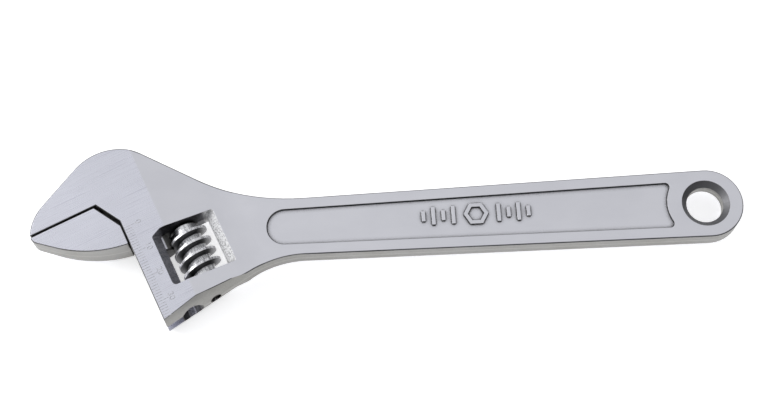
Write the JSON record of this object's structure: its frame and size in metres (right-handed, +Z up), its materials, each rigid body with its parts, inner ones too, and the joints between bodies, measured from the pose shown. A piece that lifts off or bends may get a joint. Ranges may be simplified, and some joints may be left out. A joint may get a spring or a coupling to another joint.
{
  "type": "adjustable wrench",
  "caption": "Adjustable wrench with a fixed jaw, a sliding jaw driven by a worm, a graduated head and a handle with a hang hole.",
  "frame": {"origin": "middle of the wrench's plan box, on the surface that the wrench lies on", "axes": "+X along the handle towards the hang hole, +Y in the plan towards the fixed jaw's side, +Z up out of the surface"},
  "size_m": [0.2502, 0.0653, 0.0148],
  "materials": {
    "satin_forging": "satin plated, ground on the front of the head",
    "ground_jaw": "ground and satin plated",
    "bright_worm": "bright plated",
    "steel_pin": "turned",
    "spring_wire": "drawn wire"
  },
  "bodies": {
    "frame": {"wrench_body": "satin_forging", "worm_pin": "steel_pin", "worm_spring": "spring_wire"},
    "worm": {"worm_screw": "bright_worm"},
    "jaw": {"movable_jaw": "ground_jaw"}
  },
  "joints": [
    {"name": "worm_turn", "type": "hinge", "parent": "frame", "child": "worm", "pos_m": [-0.07444, 0.00987, 0.00739], "axis": [-0.3827, 0.9239, 0], "range_deg": [0, 2572]},
    {"name": "jaw_slide", "type": "slide", "parent": "frame", "child": "jaw", "axis": [0.3827, -0.9239, 0], "range_m": [0, 0.03]}
  ],
  "couplings": [
    {"joint": "worm_turn", "follows": "jaw_slide", "rad_per_m": 1496}
  ]
}
